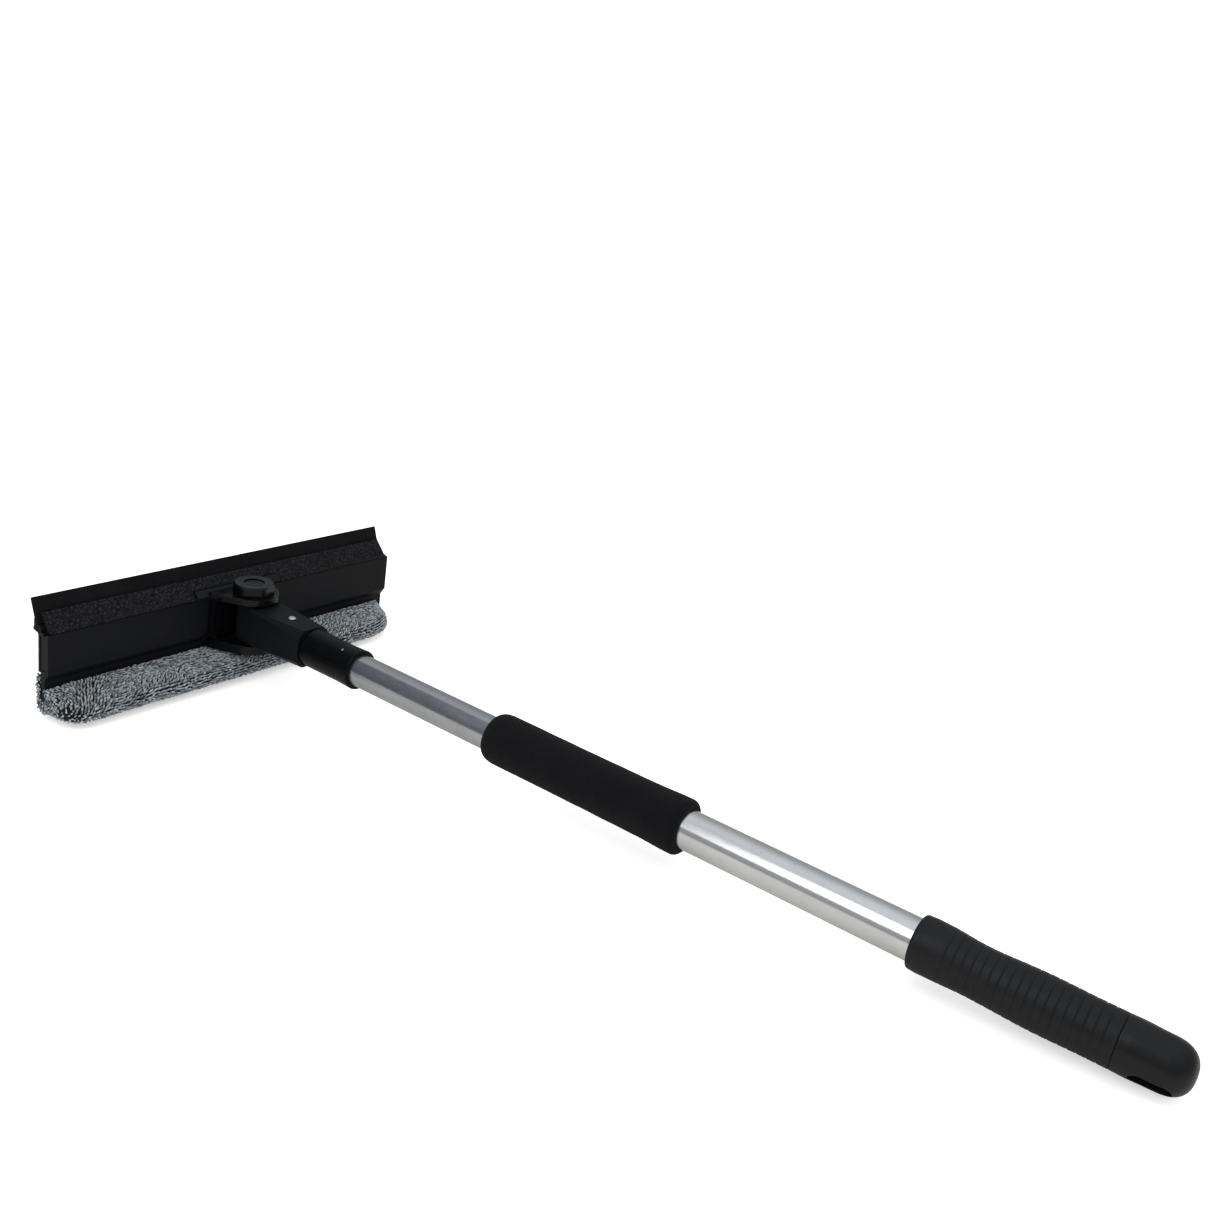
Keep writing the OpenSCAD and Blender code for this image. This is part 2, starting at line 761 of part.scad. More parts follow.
// The domed end: a superellipse of length dome_l beyond the outline's last station
function dome_points(r, start, steps = 12) =
    [for (i = [1 : steps]) let (u = i / steps * 90)
        [r * pow(cos(u), 2 / dome_power), start + dome_l * pow(sin(u), 2 / dome_power)]];

module handle_end() {
    dome = dome_points(last(cap_outline)[1], last(cap_outline)[0]);
    half = (slot_l - slot_w) / 2;
    from_pivot() color([0.08, 0.08, 0.085]) difference() {
        union() {
            down_pole(grip_end + touch) rotate_extrude($fn = 96)
                polygon(concat([[0, 0]], outline_points(cap_outline), dome));
            down_pole(grip_end - cap_spigot_l)
                cylinder(r = outer_bore - touch, h = cap_spigot_l + over);
        }
        down_pole(slot_station) rotate(slot_angle) {
            cube([4 * outer_r, slot_w, 2 * half], center = true);
            for (end = [-half, half]) translate([0, 0, end]) rotate([0, 90, 0])
                cylinder(r = slot_w / 2, h = 4 * outer_r, center = true);
        }
    }
}

head_body();
end_plugs();
blade_clamp();
squeegee_blade();
scrubber_core();
scrubber_sleeve();
swivel_bracket();
bracket_screws();
pivot_nut();
friction_washers();
knob_washer();
clamp_knob();
knob_cap();
pivot_bolt();
yoke();
snap_button();
button_spring();
ferrule();
ferrule_pins();
inner_tube();
lock_screw();
lock_clip();
lock_cone();
lock_sleeve();
outer_tube();
mouth_cap();
foam_grip();
handle_grip();
handle_end();
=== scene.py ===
"""Looks of the window cleaning pole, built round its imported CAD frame. Lengths are in metres."""

import math
import random

import bmesh
import bpy
import numpy as np
from mathutils import Matrix, Vector, noise


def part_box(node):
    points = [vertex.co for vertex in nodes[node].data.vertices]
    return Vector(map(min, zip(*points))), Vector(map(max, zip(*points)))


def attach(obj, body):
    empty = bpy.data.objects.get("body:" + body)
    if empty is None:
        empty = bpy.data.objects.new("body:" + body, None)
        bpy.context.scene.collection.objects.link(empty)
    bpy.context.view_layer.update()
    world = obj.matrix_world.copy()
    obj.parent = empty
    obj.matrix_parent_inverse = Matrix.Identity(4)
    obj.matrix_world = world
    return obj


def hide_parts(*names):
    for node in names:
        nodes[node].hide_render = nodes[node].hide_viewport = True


MM = 0.001

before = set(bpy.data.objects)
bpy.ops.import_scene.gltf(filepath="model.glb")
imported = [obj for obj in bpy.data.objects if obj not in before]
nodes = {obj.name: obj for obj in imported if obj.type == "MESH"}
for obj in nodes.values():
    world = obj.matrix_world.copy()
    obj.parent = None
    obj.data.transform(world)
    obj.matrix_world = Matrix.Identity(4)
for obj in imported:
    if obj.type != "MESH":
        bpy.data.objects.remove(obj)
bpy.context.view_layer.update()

pole_low, pole_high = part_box("inner_tube")
POLE_Z = (pole_low.z + pole_high.z) / 2
TUBE_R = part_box("outer_tube")[1].x
sleeve_low, sleeve_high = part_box("scrubber_sleeve")
grip_low, grip_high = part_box("handle_grip")


# ---- Node materials ----

SHARP_COSINE = 0.85                 # normals that differ by this cosine are on a fully sharp edge


class Shader:
    """A material's node tree, with short calls for the nodes that the finishes share."""

    def __init__(self, name):
        self.material = bpy.data.materials.new(name)
        self.material.use_nodes = True
        self.tree = self.material.node_tree
        self.bsdf = self.tree.nodes["Principled BSDF"]
        coords = self.tree.nodes.new("ShaderNodeTexCoord")
        self.place = coords.outputs["Object"]

    def node(self, kind, **settings):
        made = self.tree.nodes.new(kind)
        for key, value in settings.items():
            setattr(made, key, value)
        return made

    def put(self, socket, value):
        """Joins an output to a socket, or sets the socket to a plain value."""
        if isinstance(value, bpy.types.NodeSocket):
            self.tree.links.new(value, socket)
        elif socket.type == "RGBA" and len(value) == 3:
            socket.default_value = (*value, 1)
        else:
            socket.default_value = value

    def scaled(self, stretch):
        """Object coordinates, in millimetres, stretched by a factor on each axis."""
        mapping = self.node("ShaderNodeMapping")
        self.put(mapping.inputs["Vector"], self.place)
        self.put(mapping.inputs["Scale"], [1 / (MM * s) for s in stretch])
        return mapping.outputs["Vector"]

    def noise(self, size, detail=3.0, rough=0.55, stretch=(1, 1, 1)):
        """Noise whose features are about size millimetres across."""
        made = self.node("ShaderNodeTexNoise")
        self.put(made.inputs["Vector"], self.scaled([size * s for s in stretch]))
        self.put(made.inputs["Scale"], 1.0)
        self.put(made.inputs["Detail"], detail)
        self.put(made.inputs["Roughness"], rough)
        return made.outputs["Fac"]

    def cells(self, size, feature="F1", stretch=(1, 1, 1)):
        """Distance from the middle, or from the edge, of cells about size millimetres across."""
        made = self.node("ShaderNodeTexVoronoi", feature=feature)
        self.put(made.inputs["Vector"], self.scaled([size * s for s in stretch]))
        self.put(made.inputs["Scale"], 1.0)
        return made.outputs["Distance"]

    def spread(self, value, low, high, to_low=0.0, to_high=1.0):
        """Maps low..high to to_low..to_high and holds the ends."""
        made = self.node("ShaderNodeMapRange")
        for name, one in zip(("Value", "From Min", "From Max", "To Min", "To Max"),
                             (value, low, high, to_low, to_high)):
            self.put(made.inputs[name], one)
        return made.outputs["Result"]

    def math(self, operation, a, b=0.0):
        made = self.node("ShaderNodeMath", operation=operation)
        self.put(made.inputs[0], a)
        self.put(made.inputs[1], b)
        return made.outputs["Value"]

    def mix(self, amount, a, b):
        """Colour a at amount 0, colour b at amount 1."""
        made = self.node("ShaderNodeMix", data_type="RGBA")
        self.put(made.inputs["Factor"], amount)
        self.put(made.inputs["A"], a)
        self.put(made.inputs["B"], b)
        return made.outputs["Result"]

    def attribute(self, name):
        return self.node("ShaderNodeAttribute", attribute_name=name).outputs["Fac"]

    def rounded_normal(self, radius):
        """The surface's normal with its edges rounded by radius millimetres."""
        rounded = self.node("ShaderNodeBevel", samples=4)
        self.put(rounded.inputs["Radius"], radius * MM)
        return rounded.outputs["Normal"]

    def edges(self, radius):
        """One on sharp edges and zero elsewhere: how far a rounded normal leaves the true one."""
        true = self.node("ShaderNodeNewGeometry")
        dot = self.node("ShaderNodeVectorMath", operation="DOT_PRODUCT")
        self.put(dot.inputs[0], self.rounded_normal(radius))
        self.put(dot.inputs[1], true.outputs["Normal"])
        return self.spread(dot.outputs["Value"], 1.0, SHARP_COSINE)

    def bump(self, height, depth, strength=1.0, round_edges=0.0):
        """Bump of a height from 0 to 1 that stands depth millimetres, over rounded edges."""
        made = self.node("ShaderNodeBump")
        self.put(made.inputs["Height"], height)
        self.put(made.inputs["Distance"], depth * MM)
        self.put(made.inputs["Strength"], strength)
        if round_edges:
            self.put(made.inputs["Normal"], self.rounded_normal(round_edges))
        self.put(self.bsdf.inputs["Normal"], made.outputs["Normal"])

    def finish(self, **values):
        """Sets the surface shader's inputs, named with _ for a space, and returns the material."""
        for name, value in values.items():
            self.put(self.bsdf.inputs[name.replace("_", " ")], value)
        return self.material


def plastic(name, colour, rough, grain=0.35, grain_depth=0.02, specular=0.3, edge=0.35, worn=1.6):
    """Black moulded plastic: spark grain, patchy sheen, and lighter rubbed edges."""
    s = Shader(name)
    cloud = s.noise(14, 4)
    fine = s.noise(grain, 3, 0.6)
    rubbed = s.math("MULTIPLY", s.edges(edge), s.spread(s.noise(3, 3), 0.3, 0.75))
    tone = s.mix(s.spread(cloud, 0.3, 0.7), colour, [c * 1.25 for c in colour])
    tone = s.mix(rubbed, tone, [c * worn * 1.6 for c in colour])
    roughness = s.math("ADD", s.spread(cloud, 0.25, 0.75, rough - 0.05, rough + 0.06),
                       s.spread(fine, 0.3, 0.7, -0.04, 0.04))
    s.bump(fine, grain_depth, 0.8, edge)
    return s.finish(Base_Color=tone, Roughness=roughness, Specular_IOR_Level=specular)


def grained_plastic():
    """The clamping strip: coarse leather-like grain."""
    s = Shader("grained_black_plastic")
    fold = s.noise(2.6, 4, 0.65, stretch=(1, 1, 1.6))
    cell = s.cells(1.9, "DISTANCE_TO_EDGE", stretch=(1, 1, 1.4))
    height = s.math("ADD", fold, s.spread(cell, 0, 0.35))
    tone = s.mix(s.spread(height, 0.5, 1.6), (0.0010, 0.0011, 0.0014), (0.021, 0.0216, 0.026))
    s.bump(height, 0.3, 0.9, round_edges=0.3)
    return s.finish(Base_Color=tone, Roughness=s.spread(height, 0.4, 1.6, 0.62, 0.42),
                    Specular_IOR_Level=0.16)


def rubber(name, colour, rough, specular):
    """Dark rubber: faint bloom in clouds and a fine matt skin."""
    s = Shader(name)
    bloom = s.noise(22, 5, 0.6)
    streak = s.noise(5, 2, 0.5, stretch=(6, 1, 1))
    fine = s.noise(0.25, 2)
    tone = s.mix(s.spread(bloom, 0.35, 0.75), colour, [c * 1.5 for c in colour])
    tone = s.mix(s.spread(streak, 0.6, 0.85, 0, 0.5), tone, [c * 1.9 for c in colour])
    s.bump(fine, 0.015, 0.8, round_edges=0.25)
    return s.finish(Base_Color=tone, Roughness=s.spread(bloom, 0.3, 0.7, rough - 0.06, rough + 0.06),
                    Specular_IOR_Level=specular)


def metal(name, colour, rough, along=(1, 30, 1), depth=0.006, scuff=0.5, anisotropic=0.4):
    """Drawn or brushed metal: hair lines along the draw, soft stains and a few scuffs."""
    s = Shader(name)
    line = s.noise(0.22, 3, 0.6, stretch=along)
    stain = s.noise(16, 4, 0.55)
    speck = s.spread(s.noise(1.6, 2, 0.5, stretch=(1, 2.5, 1)), 0.69, 0.76)
    tone = s.mix(s.spread(stain, 0.3, 0.7), colour, [c * 0.9 for c in colour])
    tone = s.mix(s.math("MULTIPLY", speck, scuff), tone, [c * 0.55 for c in colour])
    tone = s.mix(s.spread(line, 0.35, 0.65, 0, 0.25), tone, [min(1, c * 1.15) for c in colour])
    roughness = s.math("ADD", s.spread(line, 0.3, 0.7, rough - 0.05, rough + 0.05),
                       s.spread(stain, 0.3, 0.7, -0.03, 0.04))
    s.bump(line, depth, 0.6)
    return s.finish(Base_Color=tone, Metallic=1.0, Roughness=roughness, Anisotropic=anisotropic)


def foam(name, colour, pore=0.9, depth=0.25):
    """Closed-cell foam: pores of two sizes, darker inside."""
    s = Shader(name)
    small = s.cells(pore * 0.45)
    large = s.cells(pore)
    height = s.math("ADD", s.spread(small, 0.1, 0.6, 0, 0.6), s.spread(large, 0.05, 0.5))
    tone = s.mix(s.spread(height, 0.3, 1.3), [c * 0.45 for c in colour], colour)
    tone = s.mix(s.spread(s.noise(18, 3), 0.4, 0.8, 0, 0.6), tone, [c * 1.4 for c in colour])
    s.bump(height, depth, 0.7)
    return s.finish(Base_Color=tone, Roughness=0.92, Specular_IOR_Level=0.08, Sheen_Weight=0.03)


def pile_material():
    """Microfibre loops: pale blue-grey at the tip, with painted shade that darkens them to charcoal at the
    root; each loop its own tone.
    """
    s = Shader("microfibre_loops")
    height = s.attribute("tip")
    shade = s.attribute("shade")
    fibre = s.noise(0.28, 2, 0.6, stretch=(3, 1, 1))
    # Painted shade: the charcoal that the loops darken to at their roots; the fibre streaks darken toward
    # it too.
    shaded_root = (0.006, 0.0072, 0.009)
    pale = s.mix(shade, (0.125, 0.144, 0.16), (0.52, 0.57, 0.605))
    # The loops darken from tip to root as painted shade.
    tone = s.mix(s.spread(height, 0.15, 0.6), shaded_root, pale)
    tone = s.mix(s.spread(fibre, 0.3, 0.7, 0.25, 0), tone, shaded_root)
    s.bump(fibre, 0.12, 0.8)
    return s.finish(Base_Color=tone, Roughness=0.85, Specular_IOR_Level=0.2, Sheen_Weight=0.2,
                    Sheen_Roughness=0.5)


def ground_shade_material():
    """The knitted ground that the loops stand on, near black as painted shade for the gaps between the
    loops.
    """
    s = Shader("microfibre_ground_shade")
    knit = s.cells(0.7, stretch=(1, 1.4, 1.4))
    # Painted shade: near black for the gaps between the loops, a little lighter in the middles of the
    # knit's cells.
    tone = s.mix(s.spread(knit, 0.1, 0.7), (0.014, 0.016, 0.02), (0.005, 0.006, 0.008))
    s.bump(knit, 0.2, 0.8)
    return s.finish(Base_Color=tone, Roughness=0.95, Specular_IOR_Level=0.1, Sheen_Weight=0.1)


black = plastic("satin_black_plastic", (0.0056, 0.0060, 0.0074), 0.42, grain=0.3, specular=0.11)
gloss = plastic("glossy_black_plastic", (0.0022, 0.0025, 0.0034), 0.25, grain=0.5,
                grain_depth=0.012, specular=0.26)
collar = plastic("collar_black_plastic", (0.0018, 0.0021, 0.0030), 0.3, specular=0.12)
handle_skin = plastic("handle_black", (0.0064, 0.0068, 0.0078), 0.42, grain_depth=0.03,
                      specular=0.28)
handle_cap_skin = plastic("handle_cap_black", (0.0036, 0.0038, 0.0044), 0.32, grain=0.4,
                          specular=0.34)
washer_black = plastic("washer_black", (0.004, 0.004, 0.0045), 0.5, specular=0.2)
grey_plastic = plastic("grey_lock_plastic", (0.05, 0.05, 0.055), 0.5)
nylon = plastic("natural_nylon", (0.62, 0.61, 0.56), 0.45, specular=0.4, worn=0.6)
strip_skin = grained_plastic()
blade_rubber = rubber("blade_rubber", (0.0046, 0.0049, 0.0056), 0.7, specular=0.1)
tube_bright = metal("bright_aluminium", (0.86, 0.865, 0.87), 0.2, depth=0.0012)
tube_grey = metal("grey_aluminium", (0.54, 0.555, 0.575), 0.26, depth=0.003, scuff=0.8)
steel = metal("zinc_steel", (0.62, 0.62, 0.60), 0.33, along=(1, 1, 1), depth=0.01, scuff=0.3,
              anisotropic=0.0)
bright_steel = metal("bright_steel", (0.9, 0.9, 0.88), 0.18, along=(1, 1, 1), depth=0.004,
                     scuff=0.2, anisotropic=0.0)
foam_black = foam("foam_black", (0.0056, 0.0059, 0.0068))
foam_core = foam("foam_core", (0.62, 0.58, 0.42), pore=1.6, depth=0.5)
pile_skin = pile_material()
ground_shade_skin = ground_shade_material()

CAD_LOOKS = {
    black: ["head_body", "end_plugs", "yoke"],
    gloss: ["swivel_bracket", "clamp_knob", "knob_cap"],
    collar: ["ferrule", "mouth_cap"],
    grey_plastic: ["lock_screw", "lock_cone"],
    washer_black: ["friction_washers"],
    nylon: ["lock_sleeve"],
    blade_rubber: ["squeegee_blade"],
    tube_bright: ["outer_tube"],
    tube_grey: ["inner_tube"],
    steel: ["bracket_screws", "pivot_nut", "knob_washer", "pivot_bolt", "ferrule_pins",
            "lock_clip", "button_spring"],
    bright_steel: ["snap_button"],
    foam_core: ["scrubber_core"],
}
for look, names in CAD_LOOKS.items():
    for name in names:
        nodes[name].data.materials.clear()
        nodes[name].data.materials.append(look)


# ---- Mesh helpers ----

def smooth_step(value, low, high):
    """Zero below low, one above high, with a soft rise between them."""
    u = max(0.0, min(1.0, (value - low) / (high - low)))
    return u * u * (3 - 2 * u)


def clamp(share):
    """Holds a share between 0 and 1."""
    return max(0, min(1, share))


def span(low, high, step):
    """Values from low to high, about a step apart."""
    count = round((high - low) / step)
    return [low + (high - low) * k / count for k in range(count + 1)]


def add_piece(name, mesh, body, material, stands_for=()):
    """Puts a finished mesh in the scene as a piece that rides on a body."""
    mesh.name = name
    piece = bpy.data.objects.new(name, mesh)
    bpy.context.scene.collection.objects.link(piece)
    mesh.materials.append(material)
    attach(piece, body)
    if stands_for:
        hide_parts(*stands_for)


def mesh_from(points, faces, smooth=True):
    """A checked mesh, with smooth shading unless told otherwise."""
    mesh = bpy.data.meshes.new("piece")
    mesh.from_pydata([tuple(p) for p in points], [], faces)
    mesh.validate()
    if smooth:
        mesh.polygons.foreach_set("use_smooth", [True] * len(mesh.polygons))
    return mesh


def skin_loops(loops, wrap=False):
    """A mesh through loops of equal length. The last loop joins the first, or both get an end face."""
    count = len(loops[0])
    points = [p for loop in loops for p in loop]
    faces = []
    for k in range(len(loops) if wrap else len(loops) - 1):
        for i in range(count):
            j = (i + 1) % count
            a, b = k * count, (k + 1) % len(loops) * count
            faces.append((a + i, a + j, b + j, b + i))
    if not wrap:
        faces.append(tuple(range(count - 1, -1, -1)))
        faces.append(tuple(range((len(loops) - 1) * count, len(loops) * count)))
    return mesh_from(points, faces)


WELD = 0.002 * MM                   # CAD points closer than this are one point
ON_PLANE = 0.01 * MM                # a point this close to a plane lies on it


def welded(mesh):
    """An editable copy of a CAD mesh, with the points of its loose faces joined."""
    bm = bmesh.new()
    bm.from_mesh(mesh)
    bmesh.ops.remove_doubles(bm, verts=bm.verts, dist=WELD)
    return bm


def end_outline(node):
    """The outline of a bar's +X end, as [(y, z), ...] in order, read from the CAD mesh."""
    bm = welded(nodes[node].data)
    far = max(v.co.x for v in bm.verts)
    cap = {f for f in bm.faces if all(abs(v.co.x - far) < ON_PLANE for v in f.verts)}
    rim = [e for f in cap for e in f.edges if sum(g in cap for g in e.link_faces) == 1]
    near = {}
    for e in rim:
        a, b = e.verts
        near.setdefault(a, []).append(b)
        near.setdefault(b, []).append(a)
    start = min(near, key=lambda v: (v.co.y, v.co.z))
    path = [start, near[start][0]]
    while path[-1] is not start:
        step = [v for v in near[path[-1]] if v is not path[-2]]
        path.append(step[0])
    outline = [(v.co.y, v.co.z) for v in path[:-1]]
    bm.free()
    area = sum(a[0] * b[1] - b[0] * a[1] for a, b in zip(outline, outline[1:] + outline[:1]))
    return outline if area > 0 else outline[::-1]


def even_points(outline, step):
    """Points every step along a closed outline, with the corners cut by the spacing."""
    ring = outline + outline[:1]
    lengths = [math.dist(a, b) for a, b in zip(ring, ring[1:])]
    total = sum(lengths)
    count = max(8, round(total / step))
    made = []
    k, done = 0, 0.0
    for i in range(count):
        target = total * i / count
        while done + lengths[k] < target:
            done += lengths[k]
            k += 1
        u = (target - done) / lengths[k]
        made.append((ring[k][0] + (ring[k + 1][0] - ring[k][0]) * u,
                     ring[k][1] + (ring[k + 1][1] - ring[k][1]) * u))
    return made


def outward(loop):
    """Unit normals of a counter-clockwise loop of (y, z) points."""
    count = len(loop)
    made = []
    for i in range(count):
        a, b = loop[i - 1], loop[(i + 1) % count]
        length = math.dist(a, b) or 1
        made.append(((b[1] - a[1]) / length, (a[0] - b[0]) / length))
    return made


def turned_profile(node, inner):
    """(y, radius) of a turned CAD node's outer outline, from its vertices beyond an inner radius."""
    best = {}
    for v in nodes[node].data.vertices:
        radius = math.hypot(v.co.x, v.co.z - POLE_Z)
        key = round(v.co.y, 5)
        if radius > inner:
            best[key] = max(radius, best.get(key, 0))
    return sorted(best.items())


def radius_on(profile, y):
    """The radius at y on a [(y, radius), ...] profile."""
    ys = [p[0] for p in profile]
    return float(np.interp(y, ys, [p[1] for p in profile]))


def turned_loops(stations, sides, shift=lambda y: 0, wobble=lambda y, turn: 0):
    """Loops about the pole through (y, radius) stations. They may shift along Z and vary in radius."""
    loops = []
    for y, radius in stations:
        middle = POLE_Z + shift(y)
        loop = []
        for i in range(sides):
            turn = 2 * math.pi * i / sides
            r = radius + wobble(y, turn)
            loop.append((r * math.sin(turn), y, middle + r * math.cos(turn)))
        loops.append(loop)
    return loops


# ---- Clamping strip, with its grain as real relief ----

STRIP_STEP = 0.45 * MM              # spacing of the strip's points along it
STRIP_ROUND_STEP = 0.35 * MM        # and round its outline
STRIP_FOOT = 3.0 * MM               # the grain begins this far above the strip's lower end
GRAIN_FADE = 0.6 * MM               # and fades in over this distance there and at the ends
GRAIN_WIDTH = 1.7 * MM
GRAIN_HEIGHT = 2.2 * MM
GRAIN_DEPTH = 0.2 * MM
GRAIN_LEVEL = 0.35                  # the noise value that lies on the CAD surface
GRAIN_NOISE = (0.9, 2.1, 3)         # fractal noise: roughness, scale between octaves, octaves
BEAD = 0.4 * MM                     # how far the strip's lower edge stands out
BEAD_DROP = 0.85 * MM               # how far the bead lies below the grain
BEAD_ROUND = (0.1 * MM, 0.5 * MM)   # half widths of the bead's flat top and of its foot


def build_strip():
    """The strip that clamps the blade, with leather-like grain and a bead along its lower edge."""
    low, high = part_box("blade_clamp")
    loop = even_points(end_outline("blade_clamp"), STRIP_ROUND_STEP)
    normals = outward(loop)
    foot = low.z + STRIP_FOOT
    loops = []
    for x in span(low.x, high.x, STRIP_STEP):
        ends = min(1, (high.x - abs(x)) / GRAIN_FADE)
        row = []
        for (y, z), (ny, nz) in zip(loop, normals):
            shows = clamp((z - foot) / GRAIN_FADE) * ends
            place = Vector((x / GRAIN_WIDTH, y / GRAIN_WIDTH, z / GRAIN_HEIGHT))
            lift = (noise.fractal(place, *GRAIN_NOISE) - GRAIN_LEVEL) * GRAIN_DEPTH * shows
            faces_front = ny < -0.5
            if faces_front:
                lift += BEAD * (1 - smooth_step(abs(z - foot + BEAD_DROP), *BEAD_ROUND))
            row.append((x, y + ny * lift, z + nz * lift))
        loops.append(row)
    add_piece("blade_clamp_grained", skin_loops(loops), "head", strip_skin,
              ["blade_clamp"])


# ---- Scrubber pad: knitted ground with rows of single loops ----

GROUND_INSET = 1.6 * MM             # the knitted ground lies this far inside the CAD outline
SECTION_STEP = 0.8 * MM
ARC_TURN = 12                       # degrees between the points of a round, before even spacing

# The rounds of the pad's section. The first two are measured in from its front, the ridge forward from
# the head's lip, and all three up from the underside: (across, up, radius).
NOSE = (7.5 * MM, 6.9 * MM, 5.7 * MM)
SLOPE = (13.5 * MM, 8.4 * MM, 5.5 * MM)
RIDGE = (2.8 * MM, 12.1 * MM, 4.3 * MM)
REAR_RADIUS = 5.6 * MM
FOLD_RADIUS = 1.9 * MM              # of the thin fold behind the lip
RIDGE_INSET = 0.8                   # shares of the inset that the small rounds take
FOLD_INSET = 0.9
NOSE_GAP = 2                        # degrees left open between the outline's two ends
RIDGE_STOP = 0.98                   # the ridge's round stops just short of the lip
SLOT_RISE = 4 * MM                  # height of the slot's back wall

# How the pad ends, seen from above: place of the end, and the two radii of its front corner.
# The sleeve sits a little to the left, so its right end is the rounder one.
LEFT_END = (-125.2 * MM, 10 * MM, 13 * MM)
RIGHT_END = (119.8 * MM, 30 * MM, 22 * MM)
END_SQUASH = 0.25                   # how much the ends flatten toward the pad's middle height
SQUASH_REACH = 5 * MM
MIDDLE_HEIGHT = 9 * MM
FLAT_STATIONS = 60
LEFT_STATIONS = 12
RIGHT_STATIONS = 16

# The slot carries no loops. It reaches this far past the lip in front, behind and below.
SLOT_MARGIN = (0.4 * MM, 1.1 * MM, 0.5 * MM)

# Spacing and lie of the loops. Angles are in radians.
SEED = 11                           # of every random draw
ROW_STEP = 1.4 * MM
LOOP_STEP = 1.75 * MM
END_STEP = 1.5 * MM
STRAY = 0.25                        # how far a root strays from its place, in steps
ROW_STRAY = 0.2
END_STRAY = 0.3
LEAN = 0.15                         # mean turn of the loops' lean, away from the pad's length
# Swirls and eddies in the pile: size along the pad, size round it, and the layer of noise read.
SWIRL = (34 * MM, 22 * MM, 3.7)
EDDY = (9 * MM, 8 * MM, 9.1)
SWIRL_TURN = 1.3
EDDY_TURN = 0.45
BRUSHED_TURN = 1.7                  # further turn of the loops near the left end
BRUSHED_FROM = 92 * MM
BRUSHED_TO = 120 * MM
END_SIZE = 0.55                     # size of the loops on the end faces
SHORTER = 0.35                      # loss of size of the loops next to them
SHORTER_FROM = 112 * MM
SHORTER_TO = 121 * MM
PROBE = 0.3 * MM                    # distance for measuring the surface's slope

# One loop: ranges in millimetres, then its shape.
LOOP_RISE = (1.3, 1.9)
LOOP_REACH = (2.0, 3.0)
LOOP_CURL = (-0.45, 0.45)
LOOP_THICK = (0.36, 0.44)
LOOP_ROOT = 0.5 * MM                # depth of the root below the ground's surface
LOOP_ARC = 1.9                      # radians of the arc that the spine climbs along
LOOP_BEND = 1.2                     # power by which it leaves its root
LOOP_ENDS = 0.8                     # thickness at the ends, and how much more in the middle
LOOP_BULGE = 0.35
LAST_RING = 0.55                    # further taper of the last ring, before the pointed tip
TIP_POINT = 0.45
PLY = 0.2                           # depth of the twist's two strands, and its turn along the loop
PLY_TURN = 5
LOOP_SIDES = 7
LOOP_RINGS = 6


def lip_range():
    """Front and back of the lip that stands in the pad's slot, and the height of its foot."""
    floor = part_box("head_body")[0].z
    near_floor = floor + 0.5 * MM
    ys = [v.co.y for v in nodes["head_body"].data.vertices if v.co.z < near_floor]
    return min(ys), max(ys), floor


LIP_FRONT, LIP_BACK, LIP_FLOOR = lip_range()


def tangent_angle(first, second):
    """Direction, in degrees, of the outward normal where a straight side leaves one round for the next."""
    along = math.atan2(second[1] - first[1], second[0] - first[0])
    apart = math.dist(first[:2], second[:2])
    return math.degrees(along - math.acos((first[2] - second[2]) / apart)) % 360


def arc(circle, start, stop):
    """Points on a (y, z, radius) circle from one angle to another, in degrees."""
    y, z, radius = circle
    count = max(2, round(abs(stop - start) / ARC_TURN))
    turns = [math.radians(start + (stop - start) * k / count) for k in range(count + 1)]
    return [(y + radius * math.cos(t), z + radius * math.sin(t)) for t in turns]


def ground_section():
    """The pad's section, counter-clockwise from the nose: (y, z) points, evenly spaced."""
    front, bottom = sleeve_low.y, sleeve_low.z
    back, top = sleeve_high.y, sleeve_high.z
    nose = (front + NOSE[0], bottom + NOSE[1], NOSE[2] - GROUND_INSET)
    slope = (front + SLOPE[0], bottom + SLOPE[1], SLOPE[2] - GROUND_INSET)
    ridge = (LIP_FRONT - RIDGE[0], bottom + RIDGE[1], RIDGE[2] - GROUND_INSET * RIDGE_INSET)
    rear = (back - REAR_RADIUS, bottom + REAR_RADIUS, REAR_RADIUS - GROUND_INSET)
    fold = (back - FOLD_RADIUS, top - FOLD_RADIUS, FOLD_RADIUS - GROUND_INSET * FOLD_INSET)
    slot = [(LIP_BACK + 0.1 * MM, LIP_FLOOR + SLOT_RISE), (LIP_BACK, LIP_FLOOR),
            (LIP_FRONT, LIP_FLOOR)]
    ridge_turn = math.degrees(math.acos((LIP_FRONT - ridge[0]) / ridge[2] * RIDGE_STOP))
    slope_turn = tangent_angle(ridge, slope)
    nose_turn = tangent_angle(slope, nose)
    outline = (arc(nose, 180, 270) + arc(rear, 270, 360) + arc(fold, 0, 180) + slot
               + arc(ridge, ridge_turn, slope_turn) + arc(slope, slope_turn, nose_turn)
               + arc(nose, nose_turn, 180 - NOSE_GAP))
    return even_points(outline, SECTION_STEP)


def is_hidden(y, z):
    """Whether a point of the section faces the head's lip and carries no loops."""
    before, behind, below = SLOT_MARGIN
    return LIP_FRONT - before < y < LIP_BACK + behind and z > LIP_FLOOR - below


def pad_point(x, y, z):
    """Takes a point of the straight bar to its place on the pad with its rounded ends."""
    end, reach, depth = LEFT_END if x < 0 else RIGHT_END
    past_flat = clamp((abs(x) - abs(end) + reach) / reach)
    drawn = depth * (1 - math.sqrt(1 - past_flat ** 2))
    front = max(0, (LIP_FRONT - y) / (LIP_FRONT - sleeve_low.y))
    near_end = clamp((abs(x) - abs(end) + SQUASH_REACH) / SQUASH_REACH)
    squash = END_SQUASH * (1 - math.sqrt(1 - near_end ** 2)) * min(1, front * 3)
    return Vector((x, y + drawn * front, z + (MIDDLE_HEIGHT - z) * squash))


def quarter_sines(count):
    """Steps toward 1 that get closer together."""
    return [math.sin(math.pi / 2 * k / count) for k in range(1, count + 1)]


